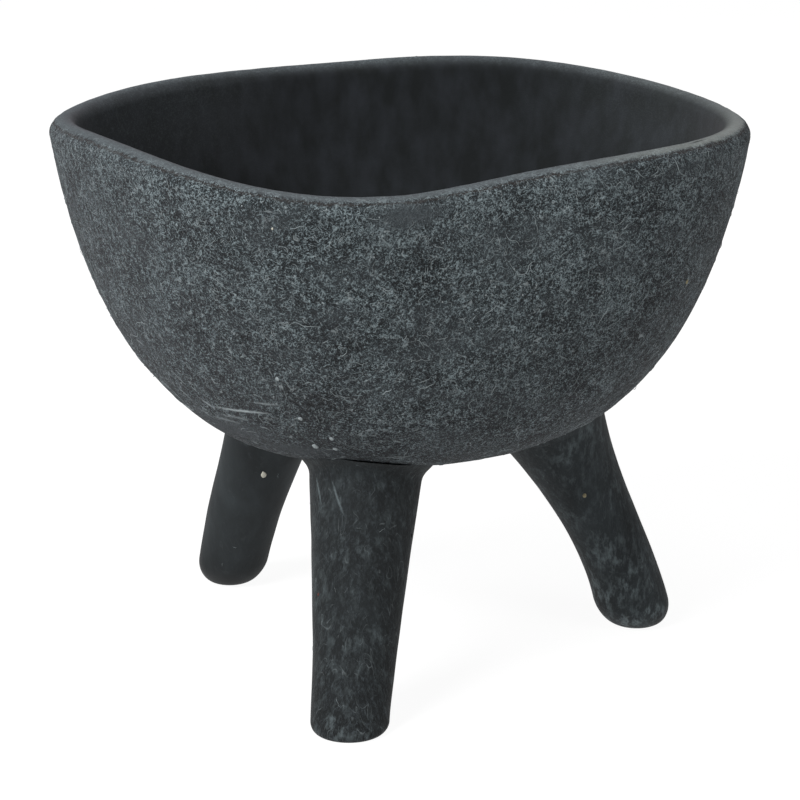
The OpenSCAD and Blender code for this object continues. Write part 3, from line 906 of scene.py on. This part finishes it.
def bit_paper(kind):
    """A bit of waste paper that was not beaten to pulp: dull and paler than the dyed pulp round it."""
    material, tree = fresh_material("waste_paper_" + kind)
    if tree is None:
        return material
    place = node_of(tree, "ShaderNodeTexCoord").outputs["Object"]
    patch = node_of(tree, "ShaderNodeTexNoise", {"Scale": 1 / (0.5 * MM), "Detail": 2.0}, Vector=place)
    whole = linear(BIT_COLOURS[kind])
    tint = node_of(tree, *COLOUR_MIX, _0=patch.outputs["Fac"], _6=rgba([0.4 * v for v in whole]),
                   _7=rgba(whole)).outputs[2]
    shader = node_of(tree, "ShaderNodeBsdfPrincipled", {"Roughness": 0.9, "Specular IOR Level": 0.2},
                     Base_Color=tint)
    node_of(tree, "ShaderNodeOutputMaterial", None, Surface=shader.outputs["BSDF"])
    return material


def fibre_paper():
    """Loose paper fibre, dried on the surface: dull, and pale in places because it took little dye."""
    material, tree = fresh_material("undyed_paper_fibre")
    if tree is None:
        return material
    looks = bpy.context.scene.pulp_looks
    place = node_of(tree, "ShaderNodeTexCoord").outputs["Object"]
    patch = node_of(tree, "ShaderNodeTexNoise", {"Scale": 1 / (7 * MM), "Detail": 2.0}, Vector=place)
    tint = node_of(tree, *COLOUR_MIX, _0=patch.outputs["Fac"], _6=rgba(looks.body),
                   _7=rgba(looks.thread)).outputs[2]
    shader = node_of(tree, "ShaderNodeBsdfPrincipled", {"Roughness": 0.8, "Specular IOR Level": 0.3},
                     Base_Color=tint)
    node_of(tree, "ShaderNodeOutputMaterial", None, Surface=shader.outputs["BSDF"])
    return material


# ---------------------------------------------------------------- stage

def soft_light(name, place, size, power):
    """A round soft light that faces the middle of the bowl."""
    data = bpy.data.lights.new(name, "AREA")
    data.shape, data.size, data.energy = "DISK", size, power
    lamp = bpy.data.objects.new(name, data)
    lamp.location = place
    lamp.rotation_euler = (Vector((0, 0, 0.09)) - Vector(place)).to_track_quat("-Z", "Y").to_euler()
    bpy.context.scene.collection.objects.link(lamp)


def white_room(strength):
    """A room that looks white from the camera but gives little light, as behind a lit table."""
    world = bpy.data.worlds.new("room")
    world.use_nodes = True
    tree = world.node_tree
    tree.nodes.clear()
    seen = node_of(tree, "ShaderNodeLightPath").outputs["Is Camera Ray"]
    dim = node_of(tree, "ShaderNodeBackground", {"Color": (1, 1, 1, 1), "Strength": strength})
    white = node_of(tree, "ShaderNodeBackground", {"Color": (1, 1, 1, 1), "Strength": 1.0})
    both = node_of(tree, "ShaderNodeMixShader", None, _0=seen, _1=dim.outputs["Background"],
                   _2=white.outputs["Background"])
    node_of(tree, "ShaderNodeOutputWorld", None, Surface=both.outputs["Shader"])
    return world


class PULP_OT_stage(bpy.types.Operator):
    """Lay a plain pale floor, hang the soft lights and stand the camera"""
    bl_idname = "pulp.stage"
    bl_label = "Stage"

    def execute(self, context):
        scene, stage = context.scene, context.scene.pulp_stage
        bm = bmesh.new()
        bmesh.ops.create_circle(bm, cap_ends=True, segments=96, radius=6)
        mesh = bpy.data.meshes.new("floor")
        bm.to_mesh(mesh)
        bm.free()
        acrylic, tree = fresh_material("lit_white_acrylic")
        shader = node_of(tree, "ShaderNodeBsdfPrincipled", {
            "Base Color": rgba(stage.floor), "Roughness": 0.9, "Specular IOR Level": 0.1,
            "Emission Color": (1, 1, 1, 1), "Emission Strength": stage.glow})
        node_of(tree, "ShaderNodeOutputMaterial", None, Surface=shader.outputs["BSDF"])
        mesh.materials.append(acrylic)
        floor = bpy.data.objects.new("floor", mesh)
        scene.collection.objects.link(floor)
        floor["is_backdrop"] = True
        soft_light("key", (-0.9, -1.0, 1.1), 0.9, stage.key_power)
        soft_light("fill", (1.2, -0.9, 0.7), 0.9, stage.fill_power)
        soft_light("top", (0, 0, 1.7), 1.2, stage.top_power)
        scene.world = white_room(stage.room)
        scene.view_settings.view_transform = "Standard"
        lens = bpy.data.cameras.new("camera")
        lens.lens, lens.sensor_width = stage.lens, 36
        lens.dof.use_dof = False
        lens.clip_start, lens.clip_end = 0.05, 50
        camera = bpy.data.objects.new("camera", lens)
        camera.location = (stage.camera_side, -stage.camera_back, stage.camera_up)
        camera.rotation_euler = (math.pi / 2 - stage.camera_pitch, 0, 0)
        scene.collection.objects.link(camera)
        scene.camera = camera
        return {"FINISHED"}


class PULP_PT_panel(bpy.types.Panel):
    """Sizes, colours and steps of the bowl"""
    bl_idname = "PULP_PT_panel"
    bl_label = "Pulp bowl"
    bl_space_type = "VIEW_3D"
    bl_region_type = "UI"
    bl_category = "Pulp bowl"

    def draw(self, context):
        for step in STEPS:
            self.layout.operator(step.bl_idname)
        for name in GROUPS:
            group = getattr(context.scene, name)
            box = self.layout.box()
            box.label(text=group.bl_rna.name)
            for key in group.bl_rna.properties.keys():
                if key not in ("rna_type", "name"):
                    box.prop(group, key)


STEPS = (PULP_OT_bowl, PULP_OT_legs, PULP_OT_joints, PULP_OT_fibres, PULP_OT_bits, PULP_OT_stage)
GROUPS = {"pulp_bowl": BowlSizes, "pulp_legs": LegSizes, "pulp_looks": PulpLooks, "pulp_stage": StageSizes}


def register():
    for group in (*GROUPS.values(), *STEPS, PULP_PT_panel):
        bpy.utils.register_class(group)
    for name, group in GROUPS.items():
        setattr(bpy.types.Scene, name, PointerProperty(type=group))


def unregister():
    for name in GROUPS:
        delattr(bpy.types.Scene, name)
    for group in (PULP_PT_panel, *reversed(STEPS), *reversed(GROUPS.values())):
        bpy.utils.unregister_class(group)


def main():
    register()
    bpy.ops.pulp.bowl()
    bpy.ops.pulp.legs()
    bpy.ops.pulp.joints()
    bpy.ops.pulp.fibres()
    bpy.ops.pulp.bits()
    bpy.ops.pulp.stage()
    plain = [[[float(v) for v in corner] for corner in box] for box in (CAD_BOX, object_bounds())]


if __name__ == "__main__":
    main()
